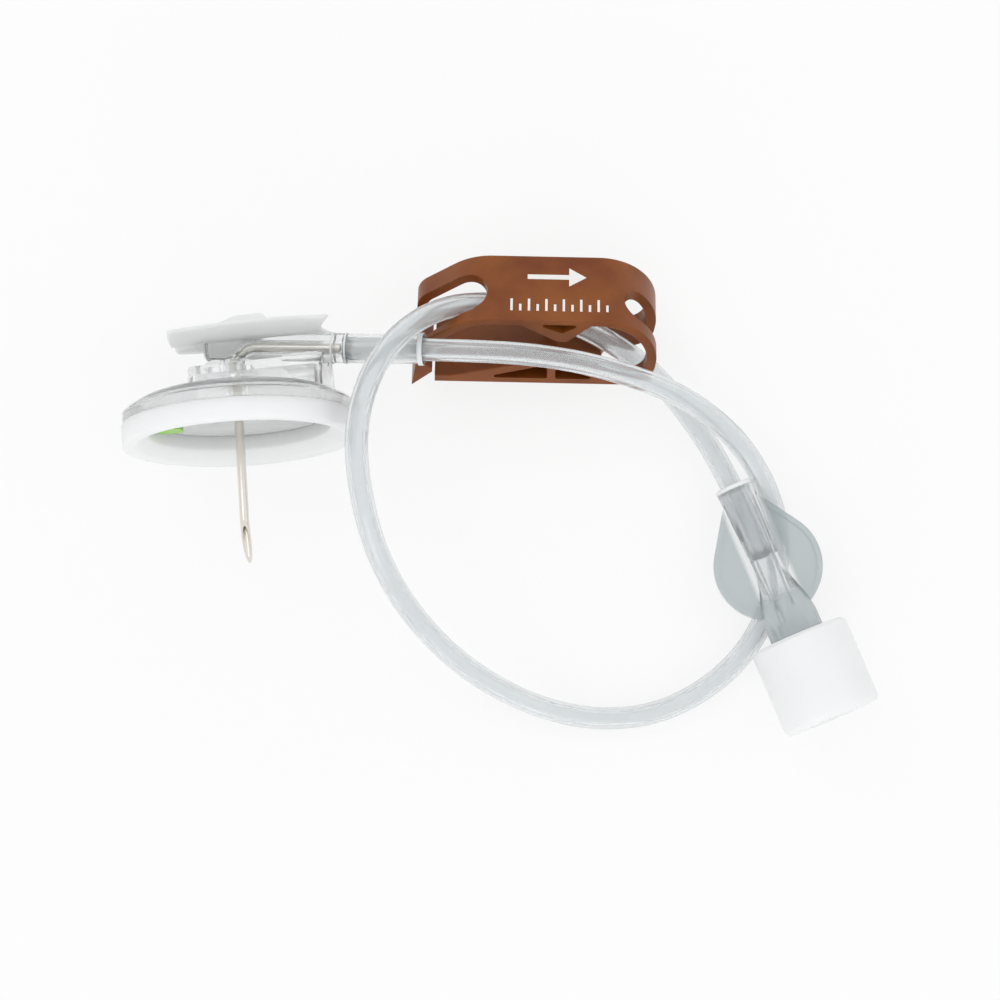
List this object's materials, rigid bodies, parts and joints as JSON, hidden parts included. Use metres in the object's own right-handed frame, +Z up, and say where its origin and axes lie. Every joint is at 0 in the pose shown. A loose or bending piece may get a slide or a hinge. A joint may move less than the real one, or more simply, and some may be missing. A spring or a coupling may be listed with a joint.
{
  "type": "safety huber needle infusion set",
  "caption": "Bent non-coring needle with soft wings and a round foam-padded sliding safety base, joined to looped clear tubing with a pinch clamp and a capped luer connector.",
  "frame": {"origin": "on the table, below the middle of the box round the needle, its hub and its base", "axes": "+Z up from the table; +X from the base towards the clamp, the long way of the needle end; the needle points roughly along -Y, 10.6 degrees up"},
  "size_m": [0.0876, 0.0561, 0.0269],
  "materials": {
    "steel": "satin",
    "clear_plastic": "clear, gloss",
    "soft_wing": "translucent, soft",
    "foam": "closed-cell foam, matt",
    "green_plastic": "pale green",
    "clear_tubing": "clear, flexible",
    "brown_plastic": "satin",
    "white_plastic": "satin"
  },
  "bodies": {
    "needle_set": {"needle": "steel", "needle_hub": "clear_plastic", "wings": "soft_wing", "joiner_sleeve": "clear_plastic", "extension_tubing": "clear_tubing", "pinch_clamp": "brown_plastic", "luer_connector": "clear_plastic"},
    "safety_base": {"base_disc": "clear_plastic", "base_housing": "clear_plastic", "tip_clip": "steel", "lock_indicator": "green_plastic", "foam_pad": "foam"},
    "cap": {"luer_cap": "white_plastic"}
  },
  "joints": [
    {"name": "base_slide", "type": "slide", "parent": "needle_set", "child": "safety_base", "axis": [0.0686, -0.9805, 0.184], "range_m": [0, 0.0185]},
    {"name": "cap_pull", "type": "slide", "parent": "needle_set", "child": "cap", "axis": [0.3842, -0.9141, 0.1297], "range_m": [0, 0.012]}
  ]
}
